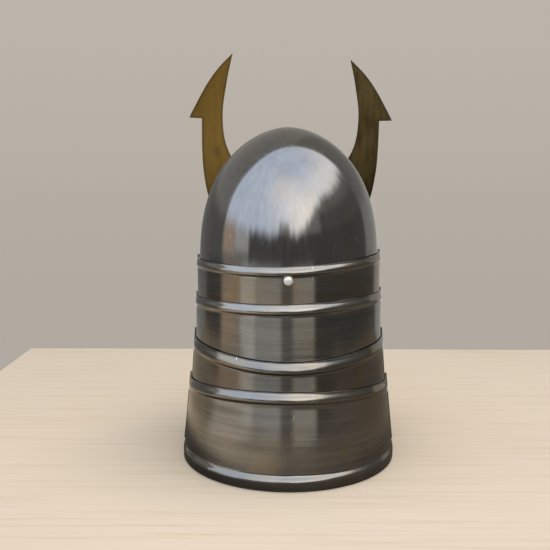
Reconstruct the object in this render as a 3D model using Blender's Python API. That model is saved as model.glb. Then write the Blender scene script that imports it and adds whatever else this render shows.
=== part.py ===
"""Samurai helmet of dark steel: an egg-shaped bowl, a neck guard of four lames that pivot on side
rivets, a plain peak and a brass crest with two barbed horns.

Metres, +Z up. The back of the helmet faces -Y, its open face +Y. It stands on the foot of its lowest
lame, and the origin is the bottom centre of the whole helmet's bounding box.
"""
import math
from collections import namedtuple

import bmesh
import bpy
from mathutils import Matrix, Vector

# Sheet, and the clearances between pieces
SHEET = 0.0012                # steel sheet of the bowl, lames and peak
SEAT_GAP = 0.0003             # between faces that a rivet draws together
SIDE_GAP = 0.0004             # between a lame and the one inside it, at the top of its sides
HOLE_CLEARANCE = 0.0004       # round a rivet's shank
TAIL_ROOM = 0.0006            # under a rivet's tail where the bowl's wall rounds away from it

# Neck guard: lames that wrap the back and sides and leave the face open
GUARD_HEIGHT = 0.2275         # foot of the lowest lame to the top edge of the highest
LAME_FRONT_Y = 0.042          # upright front ends of the lames
FLARE_START_Y = 0.022         # the sides turn outwards from here forward
FLARE = 0.0051                # how far out the front ends of the highest lame stand
FLARE_STEP = 0.0002           # and how much further each lower lame's do, so that it can pivot
BEAD_HEIGHT = 0.011           # swaged bead along each top edge
BEAD_RISE = 0.0028
BEAD_CREST_SHARE = 0.62       # of its height, from the top edge down
BEAD_FADE_POWER = 0.6         # how fast its rise fades from the back to nothing at the sides
RIM_HEIGHT = 0.017            # heavier bead round the foot
RIM_RISE = 0.0036
RIM_CREST_SHARE = 0.60        # of its height, from the foot up

# One row a lame, highest first. The heights are shares of GUARD_HEIGHT: the top edge at the back and
# at the sides, and the foot. The bead is a share of BEAD_HEIGHT. The splays are how fast the wall
# widens downwards at the side and the back. The roll is in degrees, right side up, and the sweep is
# how far the top edge rises between the back and the side.
Lame = namedtuple("Lame", "back_top side_top foot bead side_extra back_gap side_splay back_splay roll sweep")
LAMES = {
    "lame_1": Lame(1.000, 1.000, 0.695, 0.93, 0.0000, 0.0005, 0.000, 0.000, 1.80, 0.0024),
    "lame_2": Lame(0.833, 0.811, 0.462, 1.05, 0.0000, 0.0022, 0.008, 0.012, 1.60, 0.0022),
    "lame_3": Lame(0.575, 0.594, 0.255, 1.25, 0.0002, 0.0026, 0.070, 0.060, 0.15, 0.0042),
    "lame_4": Lame(0.445, 0.381, 0.000, 1.20, 0.0004, 0.0026, 0.100, 0.070, -0.30, 0.0006),
}

# Bowl: an upright oval wall that closes over in an egg shape
BOWL_HALF_WIDTH = 0.100
BOWL_HALF_DEPTH = 0.117
BOWL_OVERLAP = 0.0225         # how far it reaches down inside the highest lame
BOWL_WALL_HEIGHT = 0.010      # upright, before it starts to close in
BOWL_HEIGHT = 0.166
BOWL_EDGE_Z = GUARD_HEIGHT - BOWL_OVERLAP
BOWL_SPRING_Z = BOWL_EDGE_Z + BOWL_WALL_HEIGHT
BOWL_CROWN_Z = BOWL_EDGE_Z + BOWL_HEIGHT
EGG_RISE_POWER = 2.6
EGG_WIDTH_POWER = 1.8

# Rivets: domed heads outside, small set tails inside
RIVET_Y = 0.002               # side rivets, forward of the helmet's middle
RIVET_BELOW_BEAD = 0.0010     # from a bead's foot to the middle of a side rivet
BACK_RIVET_BELOW_BEAD = 0.0034
HEAD_RADIUS = 0.0049
HEAD_HEIGHT = 0.0036
HEAD_FOOT_RADIUS = 0.0036
SHANK_RADIUS = 0.0026
TAIL_RADIUS = 0.0038
TAIL_HEIGHT = 0.0012

# Peak: a plain plate with an upright flange that is riveted round the brow
PEAK_REACH = 0.040
PEAK_DROP = 0.013             # of its front edge
PEAK_SWEEP_DEG = 62           # to each side of the front
PEAK_END_SHARE = 0.10         # how much of its reach is left at the ends
PEAK_FLANGE_HEIGHT = 0.012
PEAK_BEND = 0.0025
PEAK_RIVET_DEG = 38

# Crest: one brass sheet, bent round the brow
CREST_SHEET = 0.0014
CREST_HALF_SPAN = 0.121
CREST_HEIGHT = 0.226
CREST_ROOT_RISE = 0.0258      # lowest edge of the sheet above the bowl's edge
CREST_SEAT_RISE = 0.045       # where it touches the bowl, and the height of its rivets
CREST_ROOT_Z = BOWL_EDGE_Z + CREST_ROOT_RISE
CREST_SEAT_Z = BOWL_EDGE_Z + CREST_SEAT_RISE
CREST_LEAN = 0.0996           # backwards for each metre up, the bowl's own slope at the seat
CREST_BEND_RADIUS = 0.26
CREST_ROLL_DEG = 0.9          # the horn at -X stands higher
CREST_RIVET_X = 0.016

# Half of the crest's outline in (across, up) shares of its half span and height
HORN_OUTER_EDGE = [(0.584, 1.0), (0.722, 0.923), (0.838, 0.835), (0.968, 0.706), (0.996, 0.673)]
HORN_STEM = [(0.878, 0.672), (0.876, 0.508), (0.860, 0.381), (0.807, 0.240), (0.678, 0.107),
             (0.394, 0.021), (0.0, 0.0)]
HORN_INNER_EDGE = [(0.0, 0.245), (0.213, 0.263), (0.450, 0.367), (0.634, 0.520), (0.680, 0.690),
                   (0.640, 0.860), (0.584, 1.0)]

# Above this height the hand-cut horns aren't quite alike
BARB_SHARE = 0.673
LEFT_TIP_STRETCH = 1.05
RIGHT_TIP_STRETCH = 0.975

# Fineness of the faceted shapes
OVAL_STEPS = 40
BOWL_ROWS = 10
ROUND_STEPS = 10
CURVE_STEPS = 3
PEAK_STEPS = 16
CREST_STRIPS = 14


def clear_scene():
    for thing in list(bpy.data.objects):
        bpy.data.objects.remove(thing, do_unlink=True)


def finish(name, colour, roughness, metallic):
    """A plain Principled material."""
    made = bpy.data.materials.new(name)
    made.use_nodes = True
    shader = made.node_tree.nodes["Principled BSDF"]
    shader.inputs["Base Color"].default_value = (*colour, 1.0)
    shader.inputs["Roughness"].default_value = roughness
    shader.inputs["Metallic"].default_value = metallic
    return made


def add_object(name, mesh, material=None):
    made = bpy.data.objects.new(name, mesh)
    bpy.context.collection.objects.link(made)
    if material and not mesh.materials:
        mesh.materials.append(material)
    return made


def mesh_from(bm, name, smooth_deg=35):
    """Turn a bmesh into a mesh with its faces outwards, smooth but for its sharp corners."""
    bmesh.ops.recalc_face_normals(bm, faces=bm.faces)
    mesh = bpy.data.meshes.new(name)
    bm.to_mesh(mesh)
    bm.free()
    mesh.shade_smooth()
    mesh.set_sharp_from_angle(angle=math.radians(smooth_deg))
    return mesh


def bridge_rows(bm, rows, wrap):
    """Faces between each row of vertices and the next. A row of one vertex is a pole."""
    for upper, lower in zip(rows, rows[1:]):
        count = max(len(upper), len(lower))
        for left in range(count if wrap else count - 1):
            right = (left + 1) % count
            corners = []
            for row, order in ((upper, (right, left)), (lower, (left, right))):
                corners += [row[0]] if len(row) == 1 else [row[i] for i in order]
            bm.faces.new(corners)


def wall_mesh(name, outer, inner, wrap):
    """A closed sheet between an outer and an inner grid of points, given as rows from the top down."""
    bm = bmesh.new()
    outside = [[bm.verts.new(p) for p in row] for row in outer]
    inside = [[bm.verts.new(p) for p in row] for row in inner]
    bridge_rows(bm, outside, wrap)
    bridge_rows(bm, inside, wrap)
    bridge_rows(bm, [outside[-1], inside[-1]], wrap)
    if len(outside[0]) > 1:
        bridge_rows(bm, [outside[0], inside[0]], wrap)
    if not wrap:
        for end in (0, -1):
            bridge_rows(bm, [[row[end] for row in outside], [row[end] for row in inside]], False)
    return mesh_from(bm, name)


def turned_mesh(name, profile):
    """A solid of revolution about Z from (radius, height) points, with a pole at each end."""
    bm = bmesh.new()
    rows = []
    for radius, height in profile:
        count = ROUND_STEPS if radius > 0 else 1
        turns = [2 * math.pi * i / count for i in range(count)]
        rows.append([bm.verts.new((radius * math.cos(t), radius * math.sin(t), height)) for t in turns])
    bridge_rows(bm, rows, True)
    return mesh_from(bm, name)


def smooth_run(points):
    """Points of a Catmull-Rom curve through the given ones."""
    padded = [2 * points[0] - points[1], *points, 2 * points[-1] - points[-2]]
    run = []
    for before, start, end, after in zip(padded, padded[1:], padded[2:], padded[3:]):
        for step in range(CURVE_STEPS):
            t = step / CURVE_STEPS
            run.append(0.5 * (2 * start + (end - before) * t
                              + (2 * before - 5 * start + 4 * end - after) * t ** 2
                              + (3 * start - before - 3 * end + after) * t ** 3))
    return run + [points[-1]]


def carry(piece, carrier):
    """Parent a piece where it stands."""
    bpy.context.view_layer.update()
    piece.parent = carrier
    piece.matrix_parent_inverse = carrier.matrix_world.inverted()


def drill(sheet, spots):
    """Cut a rivet hole through a sheet at each (point, outward direction)."""
    depth = 5 * HEAD_RADIUS
    bm = bmesh.new()
    for point, outward in spots:
        place = Matrix.Translation(point) @ outward.to_track_quat("Z", "Y").to_matrix().to_4x4()
        radius = SHANK_RADIUS + HOLE_CLEARANCE
        bmesh.ops.create_cone(bm, cap_ends=True, segments=ROUND_STEPS, radius1=radius, radius2=radius,
                              depth=depth, matrix=place)
    cutter = add_object(sheet.name + "_drill", mesh_from(bm, sheet.name + "_drill"))
    cutter.hide_render = True
    cutter.display_type = "WIRE"
    carry(cutter, sheet)
    cut = sheet.modifiers.new("rivet holes", "BOOLEAN")
    cut.operation = "DIFFERENCE"
    cut.object = cutter


# Bowl
def egg_share(z, crown_z=BOWL_CROWN_Z):
    """How much of the bowl's oval is left at a height."""
    rise = (z - BOWL_SPRING_Z) / (crown_z - BOWL_SPRING_Z)
    if rise <= 0:
        return 1.0
    return (1 - rise ** EGG_RISE_POWER) ** (1 / EGG_WIDTH_POWER)


def oval_point(half_width, half_depth, angle, z):
    """A point of an oval, its angle counted from the back towards +X."""
    return Vector((half_width * math.sin(angle), -half_depth * math.cos(angle), z))


def oval_normal(half_width, half_depth, angle):
    return Vector((math.sin(angle) / half_width, -math.cos(angle) / half_depth, 0)).normalized()


def bowl_grid(inset):
    """Rows of points from the crown to the edge, on the outside or inset by the sheet."""
    crown_z = BOWL_CROWN_Z - inset
    rows = [[Vector((0, 0, crown_z))]]
    for row in range(BOWL_ROWS - 1, 0, -1):
        share = math.cos(math.pi / 2 * row / BOWL_ROWS)
        rise = (1 - share ** EGG_WIDTH_POWER) ** (1 / EGG_RISE_POWER)
        rows.append((share, BOWL_SPRING_Z + rise * (crown_z - BOWL_SPRING_Z)))
    rows += [(1.0, BOWL_SPRING_Z), (1.0, BOWL_EDGE_Z)]
    half_width = BOWL_HALF_WIDTH - inset
    half_depth = BOWL_HALF_DEPTH - inset
    angles = [2 * math.pi * i / OVAL_STEPS for i in range(OVAL_STEPS)]
    return rows[:1] + [[oval_point(share * half_width, share * half_depth, a, z) for a in angles]
                       for share, z in rows[1:]]


def make_bowl(material):
    return add_object("bowl", wall_mesh("bowl", bowl_grid(0), bowl_grid(SHEET), True), material)


# Lames
def lame_stations():
    """Stations along a lame from its left front end round the back to the right one: (angle, forward)."""
    flare_steps = 3
    reach = LAME_FRONT_Y - FLARE_START_Y
    flared = [FLARE_START_Y + reach * i / flare_steps for i in range(flare_steps + 1)]
    back_steps = OVAL_STEPS // 2
    angles = [math.pi * (i / back_steps - 0.5) for i in range(back_steps + 1)]
    return ([(-math.pi / 2, y) for y in reversed(flared)] + [(a, 0.0) for a in angles]
            + [(math.pi / 2, y) for y in flared])


def side_of(angle):
    return math.copysign(1, angle)


def lame_sizes(name, z):
    """Outer half width and half depth of a lame's plain wall at a height, worked out from the bowl."""
    half_width, half_depth = BOWL_HALF_WIDTH, BOWL_HALF_DEPTH
    rows = list(LAMES.items())
    for index, (each, row) in enumerate(rows):
        top_z = row.side_top * GUARD_HEIGHT
        inner = rows[index + 1][1].side_top * GUARD_HEIGHT if each != name else z
        half_width += SHEET + SIDE_GAP + row.side_extra + row.side_splay * (top_z - inner)
        half_depth += SHEET + row.back_gap + row.back_splay * (top_z - inner)
        if each == name:
            return half_width, half_depth


def lame_point(name, station, z, proud):
    """A point at a station and height of a lame, standing proud of its plain wall."""
    angle, forward = station
    half_width, half_depth = lame_sizes(name, z)
    if forward == 0:
        outward = oval_normal(half_width, half_depth, angle)
        return oval_point(half_width, half_depth, angle, z) + proud * outward
    flare = FLARE + FLARE_STEP * list(LAMES).index(name)
    reach = LAME_FRONT_Y - FLARE_START_Y
    share = max(0.0, (forward - FLARE_START_Y) / reach)
    side = side_of(angle)
    outward = Vector((side, -2 * flare * share / reach, 0)).normalized()
    return Vector((side * (half_width + flare * share ** 2), forward, z)) + proud * outward


def top_edge_z(name, point):
    """Height of a lame's top edge over a point of its plan: it leans, rolls and sweeps up."""
    row = LAMES[name]
    back_share = -point.y / lame_sizes(name, row.side_top * GUARD_HEIGHT)[1]
    lean = (row.back_top - row.side_top) * GUARD_HEIGHT * back_share
    sweep = 4 * row.sweep * max(0.0, back_share) * (1 - back_share)
    return row.side_top * GUARD_HEIGHT + lean + sweep + point.x * math.tan(math.radians(row.roll))


def bead_swell(share, crest):
    """Height of a bead across its width, from 0 at both feet to 1 at its crest."""
    if share < crest:
        return math.sin(math.pi / 2 * share / crest) ** 2
    return math.cos(math.pi / 2 * (share - crest) / (1 - crest)) ** 2


def bead_fade(station):
    """How much of a bead's rise is left at a station."""
    angle, forward = station
    return 0.0 if forward else max(0.0, math.cos(angle)) ** BEAD_FADE_POWER


def lame_grid(name, inset):
    row = LAMES[name]
    stations = lame_stations()
    bead_height = row.bead * BEAD_HEIGHT
    beads = [(share, BEAD_RISE * bead_swell(share, BEAD_CREST_SHARE))
             for share in (0, 0.16, 0.31, 0.46, BEAD_CREST_SHARE, 0.76, 0.88, 1)]
    plan = [lame_point(name, s, row.side_top * GUARD_HEIGHT, 0) for s in stations]
    grid = [[lame_point(name, s, top_edge_z(name, p) - share * bead_height, rise * bead_fade(s) - inset)
             for s, p in zip(stations, plan)] for share, rise in beads]
    if row.foot > 0:
        lower = [(row.foot * GUARD_HEIGHT, 0)]
    else:
        lower = [(share * RIM_HEIGHT, RIM_RISE * bead_swell(share, RIM_CREST_SHARE))
                 for share in (1, 0.87, 0.74, RIM_CREST_SHARE, 0.4, 0.2, 0)]
    return grid + [[lame_point(name, s, z, rise * bead_fade(s) - inset) for s in stations]
                   for z, rise in lower]


def make_lame(name, material):
    return add_object(name, wall_mesh(name, lame_grid(name, 0), lame_grid(name, SHEET), False), material)


# Rivets
def lame_rivet_spot(name, station, below_bead=RIVET_BELOW_BEAD):
    """Where a rivet's head sits on a lame below its bead, and the wall's outward direction there."""
    row = LAMES[name]
    point = lame_point(name, station, row.side_top * GUARD_HEIGHT, 0)
    z = top_edge_z(name, point) - row.bead * BEAD_HEIGHT - below_bead
    here = lame_point(name, station, z, 0)
    below = lame_point(name, station, z - HEAD_RADIUS, 0)
    level = Vector((side_of(station[0]), 0, 0)) if station[1] else Vector((0, -1, 0))
    wall = (here - below).normalized()
    return here, (level - level.dot(wall) * wall).normalized()


def make_rivet(name, spot, grip, material):
    """A set rivet whose head sits at the spot and whose tail is beyond a stack as thick as the grip."""
    point, outward = spot
    tail = -(grip + SEAT_GAP)
    profile = [(0, HEAD_HEIGHT), (0.5 * HEAD_RADIUS, 0.88 * HEAD_HEIGHT),
               (0.85 * HEAD_RADIUS, 0.6 * HEAD_HEIGHT), (HEAD_RADIUS, 0.3 * HEAD_HEIGHT),
               (HEAD_FOOT_RADIUS, SEAT_GAP), (SHANK_RADIUS, SEAT_GAP), (SHANK_RADIUS, tail),
               (TAIL_RADIUS, tail), (0.8 * TAIL_RADIUS, tail - TAIL_HEIGHT), (0, tail - TAIL_HEIGHT)]
    made = add_object(name, turned_mesh(name, profile), material)
    made.location = point
    made.rotation_mode = "QUATERNION"
    made.rotation_quaternion = outward.to_track_quat("Z", "Y")
    return made


def lame_grip(name, z):
    """Thickness of a lame, the wall inside it and the gap between them, at a height of the side."""
    names = list(LAMES)
    index = names.index(name)
    if index:
        return lame_sizes(name, z)[0] - lame_sizes(names[index - 1], z)[0] + SHEET
    bowl_share = math.sqrt(1 - (RIVET_Y / BOWL_HALF_DEPTH) ** 2)
    bowl_slope = BOWL_HALF_WIDTH * RIVET_Y / (BOWL_HALF_DEPTH ** 2 * bowl_share)
    gap = lame_sizes(name, z)[0] - BOWL_HALF_WIDTH * bowl_share
    return gap + SHEET + TAIL_RADIUS * bowl_slope + TAIL_ROOM


# Peak
def brow_point(angle, z, away):
    """A point round the bowl's brow, its angle counted from the front towards +X."""
    turned = math.pi - angle
    point = oval_point(BOWL_HALF_WIDTH, BOWL_HALF_DEPTH, turned, z)
    return point + away * oval_normal(BOWL_HALF_WIDTH, BOWL_HALF_DEPTH, turned)


def peak_bend_z():
    return BOWL_EDGE_Z + PEAK_BEND + SHEET


def make_peak(material):
    bend_z = peak_bend_z()
    sweep = math.radians(PEAK_SWEEP_DEG)
    columns = []
    for i in range(PEAK_STEPS + 1):
        share = 2 * i / PEAK_STEPS - 1
        reach_share = PEAK_END_SHARE + (1 - PEAK_END_SHARE) * math.cos(math.pi / 2 * share) ** 0.7
        reach = PEAK_REACH * reach_share
        section = [(SEAT_GAP, bend_z + PEAK_FLANGE_HEIGHT), (SEAT_GAP, bend_z),
                   (SEAT_GAP + 0.3 * PEAK_BEND, bend_z - 0.7 * PEAK_BEND),
                   (SEAT_GAP + PEAK_BEND, bend_z - PEAK_BEND)]
        for out in (0.35, 0.7, 1.0):
            section.append((SEAT_GAP + PEAK_BEND + out * reach,
                            bend_z - PEAK_BEND - PEAK_DROP * reach_share * out ** 1.3))
        columns.append([brow_point(-share * sweep, z, away) for away, z in section])
    bm = bmesh.new()
    rows = [[bm.verts.new(p) for p in row] for row in zip(*columns)]
    bridge_rows(bm, rows, False)
    mesh = bpy.data.meshes.new("peak")
    bm.to_mesh(mesh)
    bm.free()
    mesh.shade_smooth()
    peak = add_object("peak", mesh, material)
    thick = peak.modifiers.new("sheet", "SOLIDIFY")
    thick.thickness = SHEET
    thick.offset = 1
    thick.use_even_offset = True
    return peak


def peak_rivet_spot(turn_deg):
    angle = math.radians(turn_deg)
    z = peak_bend_z() + 0.5 * PEAK_FLANGE_HEIGHT
    here = brow_point(angle, z, SEAT_GAP + SHEET)
    return here, (brow_point(angle, z, 1) - brow_point(angle, z, 0)).normalized()


# Crest
def crest_back_y(x, z):
    """The crest's hinder face: it leans with the bowl's front and bends back towards the horns."""
    seat = BOWL_HALF_DEPTH * egg_share(CREST_SEAT_Z) + SEAT_GAP
    bend = CREST_BEND_RADIUS - math.sqrt(CREST_BEND_RADIUS ** 2 - x ** 2)
    return seat + CREST_LEAN * (CREST_SEAT_Z - z) - bend


def crest_roll():
    pivot = Matrix.Translation((0, 0, CREST_SEAT_Z))
    return pivot @ Matrix.Rotation(math.radians(CREST_ROLL_DEG), 4, "Y") @ pivot.inverted()


def make_crest(material):
    runs = [smooth_run([Vector(p) for p in run]) for run in (HORN_INNER_EDGE, HORN_OUTER_EDGE, HORN_STEM)]
    half = runs[0] + runs[1][1:] + runs[2]
    right, left = ([(p.x, p.y + (stretch - 1) * max(0.0, p.y - BARB_SHARE)) for p in half]
                   for stretch in (RIGHT_TIP_STRETCH, LEFT_TIP_STRETCH))
    outline = right + [(-x, y) for x, y in reversed(left) if x > 0]
    bm = bmesh.new()
    bm.faces.new([bm.verts.new((x * CREST_HALF_SPAN, 0, CREST_ROOT_Z + y * CREST_HEIGHT))
                  for x, y in outline])
    for i in range(1, CREST_STRIPS):
        across = CREST_HALF_SPAN * (2 * i / CREST_STRIPS - 1)
        bmesh.ops.bisect_plane(bm, geom=bm.verts[:] + bm.edges[:] + bm.faces[:], dist=1e-6,
                               plane_co=(across, 0, 0), plane_no=(1, 0, 0))
    for vertex in bm.verts:
        vertex.co.y = crest_back_y(vertex.co.x, vertex.co.z)
    for face in bm.faces:
        face.normal_update()
        if face.normal.y < 0:
            face.normal_flip()
    mesh = bpy.data.meshes.new("crest")
    bm.to_mesh(mesh)
    bm.free()
    crest = add_object("crest", mesh, material)
    crest.matrix_world = crest_roll()
    thick = crest.modifiers.new("sheet", "SOLIDIFY")
    thick.thickness = CREST_SHEET
    thick.offset = 1
    return crest


def crest_rivet_spot(side):
    x = side * CREST_RIVET_X
    slope = x / math.sqrt(CREST_BEND_RADIUS ** 2 - x ** 2)
    outward = Vector((slope, 1, CREST_LEAN)).normalized()
    back = Vector((x, crest_back_y(x, CREST_SEAT_Z), CREST_SEAT_Z))
    roll = crest_roll()
    return roll @ (back + CREST_SHEET * outward), (roll.to_3x3() @ outward).normalized()


def crest_grip():
    """Crest sheet, bowl sheet and the gap that the bowl's rounder brow leaves under the rivet's tail."""
    x = CREST_RIVET_X
    bowl_share = math.sqrt(egg_share(CREST_SEAT_Z) ** 2 - (x / BOWL_HALF_WIDTH) ** 2)
    bowl_slope = BOWL_HALF_DEPTH * x / (BOWL_HALF_WIDTH ** 2 * bowl_share)
    crest_slope = x / math.sqrt(CREST_BEND_RADIUS ** 2 - x ** 2)
    gap = crest_back_y(x, CREST_SEAT_Z) - BOWL_HALF_DEPTH * bowl_share
    return CREST_SHEET + SHEET + gap + TAIL_RADIUS * (bowl_slope - crest_slope) + TAIL_ROOM


def hinge_at(name, spots):
    """An empty on the line through a lame's two side rivets."""
    left, right = (point for point, outward in spots)
    hinge = add_object(name + "_hinge", None)
    hinge.location = (left + right) / 2
    return hinge


def main():
    clear_scene()
    steel = finish("dark_steel", (0.09, 0.09, 0.095), 0.35, 1.0)
    brass = finish("tarnished_brass", (0.28, 0.21, 0.09), 0.4, 1.0)
    bright = finish("rivet_metal", (0.8, 0.8, 0.78), 0.25, 1.0)
    helmet = add_object("helmet", None)

    bowl = make_bowl(steel)
    peak = make_peak(steel)
    crest = make_crest(brass)
    for piece in (bowl, peak, crest):
        carry(piece, helmet)

    holes = {"bowl": [], "peak": [], "crest": []}
    carrier = helmet
    sheets = {"bowl": bowl, "peak": peak, "crest": crest}
    inside = "bowl"
    for number, name in enumerate(LAMES, 1):
        sheets[name] = make_lame(name, steel)
        spots = [lame_rivet_spot(name, (side * math.pi / 2, RIVET_Y)) for side in (-1, 1)]
        if name != "lame_1":
            hinge = hinge_at(name, spots)
            carry(hinge, carrier)
            carrier = hinge
        carry(sheets[name], carrier)
        holes[name] = list(spots)
        holes[inside] += spots
        for word, spot in zip(("left", "right"), spots):
            grip = lame_grip(name, spot[0].z)
            carry(make_rivet(f"rivet_{word}_{number}", spot, grip, bright), carrier)
        inside = name

    back_spot = lame_rivet_spot("lame_1", (0.0, 0.0), BACK_RIVET_BELOW_BEAD)
    back_grip = 2 * SHEET + LAMES["lame_1"].back_gap + TAIL_ROOM
    carry(make_rivet("rivet_back", back_spot, back_grip, bright), helmet)
    holes["lame_1"].append(back_spot)
    holes["bowl"].append(back_spot)

    for word, side in (("left", -1), ("right", 1)):
        spot = crest_rivet_spot(side)
        carry(make_rivet(f"crest_rivet_{word}", spot, crest_grip(), bright), helmet)
        holes["crest"].append(spot)
        holes["bowl"].append(spot)
    for word, turn in (("left", -PEAK_RIVET_DEG), ("middle", 0), ("right", PEAK_RIVET_DEG)):
        spot = peak_rivet_spot(turn)
        carry(make_rivet(f"peak_rivet_{word}", spot, 2 * SHEET + SEAT_GAP + TAIL_ROOM, bright), helmet)
        holes["peak"].append(spot)
        holes["bowl"].append(spot)

    for name, spots in holes.items():
        drill(sheets[name], spots)
    stand_on_origin(helmet)


def stand_on_origin(helmet):
    """Move the whole helmet so that the bottom centre of its bounding box is the origin."""
    bpy.context.view_layer.update()
    view = bpy.context.evaluated_depsgraph_get()
    corners = []
    for piece in bpy.data.objects:
        if piece.type == "MESH" and not piece.hide_render:
            shape = piece.evaluated_get(view)
            corners += [shape.matrix_world @ vertex.co for vertex in shape.data.vertices]
    low = Vector([min(corner[axis] for corner in corners) for axis in range(3)])
    high = Vector([max(corner[axis] for corner in corners) for axis in range(3)])
    helmet.location -= Vector(((low.x + high.x) / 2, (low.y + high.y) / 2, low.z))


main()
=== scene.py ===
"""A samurai helmet of dark steel with brass horns, seen from behind on a pale wooden table."""
import math

import bmesh
import bpy
from mathutils import Matrix, Vector


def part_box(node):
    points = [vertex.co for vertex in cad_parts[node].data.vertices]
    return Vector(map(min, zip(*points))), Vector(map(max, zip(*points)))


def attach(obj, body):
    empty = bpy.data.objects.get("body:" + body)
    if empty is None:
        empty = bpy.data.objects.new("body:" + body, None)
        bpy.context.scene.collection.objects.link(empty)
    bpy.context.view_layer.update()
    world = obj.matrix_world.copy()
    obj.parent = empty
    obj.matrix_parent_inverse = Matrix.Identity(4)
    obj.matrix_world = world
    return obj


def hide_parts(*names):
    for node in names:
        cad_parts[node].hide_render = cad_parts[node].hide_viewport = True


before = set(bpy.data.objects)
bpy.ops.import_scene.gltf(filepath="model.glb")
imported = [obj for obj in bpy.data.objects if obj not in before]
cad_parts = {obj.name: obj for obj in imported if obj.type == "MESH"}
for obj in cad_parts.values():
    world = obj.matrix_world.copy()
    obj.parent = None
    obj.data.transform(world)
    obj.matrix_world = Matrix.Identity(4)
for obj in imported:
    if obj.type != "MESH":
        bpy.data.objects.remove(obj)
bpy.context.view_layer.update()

# The helmet stands on its neck guard. Its bowl's upright axis is the middle of the helmet: the places
# below are measured from that axis, which is at x = 0 and this far along Y.
bowl_low, bowl_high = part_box("bowl")
AXIS_Y = (bowl_low.y + bowl_high.y) / 2
AXIS = Matrix.Translation((0, AXIS_Y, 0))


# Camera
# Behind the helmet, a metre away and a little lower than its crown, tilted down, and turned a trifle to
# the left so that the helmet stands right of the middle. Lengths in the picture are in its pixels.
PICTURE_WIDTH = 550
FOCAL_LENGTH = 900
HORIZON_ABOVE_MIDDLE = 115
AXIS_RIGHT_OF_MIDDLE = 13.5
CAMERA_DISTANCE = 1.018
CAMERA_HEIGHT = 0.3345
CAMERA_DOWN = math.atan(HORIZON_ABOVE_MIDDLE / FOCAL_LENGTH)
CAMERA_TURN = math.atan(AXIS_RIGHT_OF_MIDDLE / FOCAL_LENGTH)
camera_data = bpy.data.cameras.new("camera")
camera_data.sensor_width = 36
camera_data.lens = FOCAL_LENGTH / PICTURE_WIDTH * camera_data.sensor_width
camera = bpy.data.objects.new("camera", camera_data)
camera.location = (0, AXIS_Y - CAMERA_DISTANCE, CAMERA_HEIGHT)
camera.rotation_euler = (math.pi / 2 - CAMERA_DOWN, 0, CAMERA_TURN)
bpy.context.collection.objects.link(camera)
bpy.context.scene.camera = camera
bpy.context.scene.view_settings.view_transform = "Standard"


# Node trees
# Nodes are added one at a time with their settings and inputs. A Term is a number that a tree works
# out: sums, products and powers of Terms add the Math nodes for them.
def add(tree, kind, *values, **settings):
    """A node with its settings, and its first inputs: a value, another node's output, or None."""
    node = tree.nodes.new(kind)
    for key, value in settings.items():
        setattr(node, key, value)
    for socket, value in zip(node.inputs, values):
        give(tree, socket, value)
    return node


def give(tree, socket, value):
    if isinstance(value, Term):
        value = value.socket
    if isinstance(value, bpy.types.NodeSocket):
        tree.links.new(value, socket)
    elif value is not None:
        socket.default_value = value


class Term:
    def __init__(self, tree, socket):
        self.tree = tree
        self.socket = socket

    def math(self, operation, *others, clamp=False):
        node = add(self.tree, "ShaderNodeMath", *others, operation=operation, use_clamp=clamp)
        return Term(self.tree, node.outputs[0])

    def __add__(self, other):
        return self.math("ADD", self, other)

    def __sub__(self, other):
        return self.math("SUBTRACT", self, other)

    def __rsub__(self, other):
        return self.math("SUBTRACT", other, self)

    def __mul__(self, other):
        return self.math("MULTIPLY", self, other)

    def __truediv__(self, other):
        return self.math("DIVIDE", self, other)

    def __rtruediv__(self, other):
        return self.math("DIVIDE", other, self)

    def __pow__(self, other):
        return self.math("POWER", self, other)

    __radd__ = __add__
    __rmul__ = __mul__

    def sin(self):
        return self.math("SINE", self)

    def cos(self):
        return self.math("COSINE", self)

    def least(self, other):
        return self.math("MINIMUM", self, other)

    def most(self, other):
        return self.math("MAXIMUM", self, other)

    def clamped(self):
        return self.math("ADD", self, 0.0, clamp=True)

    def step(self, low, high):
        """0 at low, 1 at high, and a smooth change between them."""
        node = add(self.tree, "ShaderNodeMapRange", self, low, high, 0.0, 1.0,
                   interpolation_type="SMOOTHSTEP")
        return Term(self.tree, node.outputs[0])


def axes(tree, vector):
    split = add(tree, "ShaderNodeSeparateXYZ", vector)
    return [Term(tree, output) for output in split.outputs]


def blend(tree, factor, first, second):
    """A mix of two colours."""
    node = add(tree, "ShaderNodeMix", factor, data_type="RGBA")
    give(tree, node.inputs[6], first)
    give(tree, node.inputs[7], second)
    return node.outputs[2]


def noise(tree, vector, scale, detail=3.0, rough=0.5):
    node = add(tree, "ShaderNodeTexNoise", vector)
    node.inputs["Scale"].default_value = scale
    node.inputs["Detail"].default_value = detail
    node.inputs["Roughness"].default_value = rough
    return Term(tree, node.outputs[0])


# Light
# Soft daylight from a wide window behind the camera, in a dim room: a beige curtain at the left, a dark
# doorway at the right, and the floor with the things that stand on it. The steel mirrors all of it.
world = bpy.data.worlds.new("room")
bpy.context.scene.world = world
world.use_nodes = True
room = world.node_tree
room.nodes.clear()
across, away, up = axes(room, add(room, "ShaderNodeTexCoord").outputs["Generated"])
azimuth = across.math("ARCTAN2", across, away * -1.0) * math.degrees(1)
height = up.math("ARCSINE", up) * math.degrees(1)

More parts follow.
